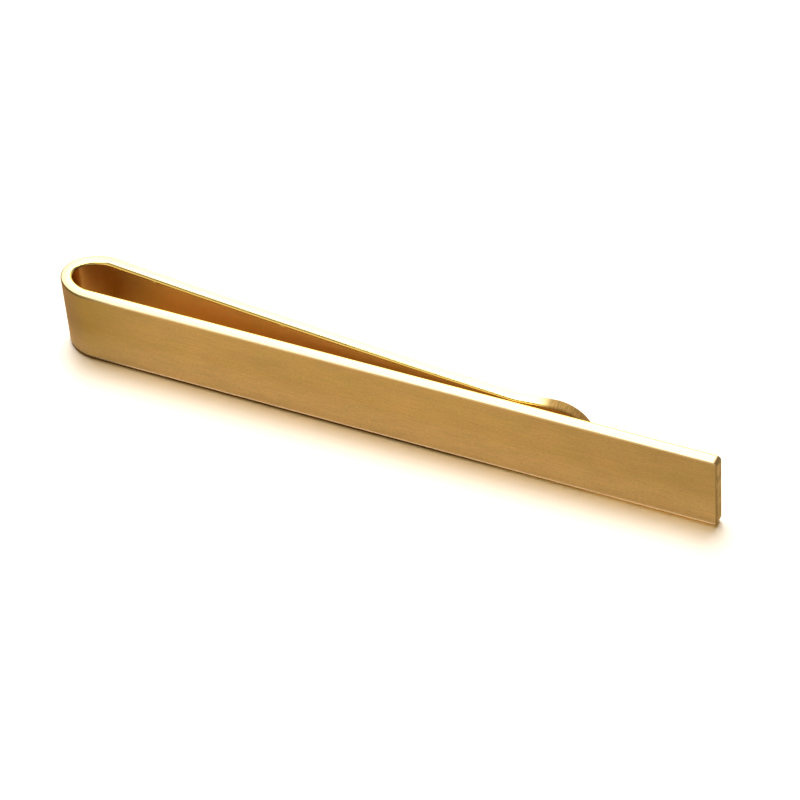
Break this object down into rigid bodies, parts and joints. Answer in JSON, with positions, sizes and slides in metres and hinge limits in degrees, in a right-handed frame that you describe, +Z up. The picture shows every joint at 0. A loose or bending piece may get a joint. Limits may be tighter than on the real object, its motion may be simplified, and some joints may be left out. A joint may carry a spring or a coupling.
{
  "type": "tie clip",
  "caption": "Slide-type tie clip: a brushed gold strip folded into a flat front bar, a rounded bow and a sprung rear arm with a flared, round-ended tongue.",
  "frame": {"origin": "under the middle of the clip's box, on the surface that its long edge stands on", "axes": "+X along the front bar towards its free end, with the bow at -X; the front bar faces -Y and the spring arm lies at +Y; +Z up, across the strip's width"},
  "size_m": [0.0524, 0.0048, 0.006],
  "materials": {
    "brushed_gold": "brushed along its length, polished edges",
    "satin_gold": "fine satin, polished edges"
  },
  "bodies": {
    "front_bar": {"front_bar": "brushed_gold"},
    "bow": {"bow": "brushed_gold"},
    "arm_root": {"arm_root": "satin_gold"},
    "spring_arm": {"spring_arm": "satin_gold"},
    "arm_tip": {"arm_tip": "satin_gold", "tongue": "satin_gold"}
  },
  "joints": [
    {"name": "bow_flex", "type": "hinge", "parent": "front_bar", "child": "bow", "pos_m": [-0.02332, -0.00237, 0.003], "axis": [0, 0, 1], "range_deg": [0, 1], "stiffness_Nm_per_rad": 41.5},
    {"name": "arm_root_flex", "type": "hinge", "parent": "bow", "child": "arm_root", "pos_m": [-0.02297, 0.00235, 0.003], "axis": [0, 0, 1], "range_deg": [0, 1]},
    {"name": "arm_flex", "type": "hinge", "parent": "arm_root", "child": "spring_arm", "pos_m": [-0.01563, 0.00161, 0.003], "axis": [0, 0, 1], "range_deg": [0, 3.3]},
    {"name": "arm_tip_flex", "type": "hinge", "parent": "spring_arm", "child": "arm_tip", "pos_m": [-0.00094, 0.0003, 0.003], "axis": [0, 0, 1], "range_deg": [0, 1.1]}
  ],
  "couplings": [
    {"joint": "arm_root_flex", "follows": "bow_flex", "ratio": 1},
    {"joint": "arm_flex", "follows": "bow_flex", "ratio": 3.3},
    {"joint": "arm_tip_flex", "follows": "bow_flex", "ratio": 1.1}
  ]
}
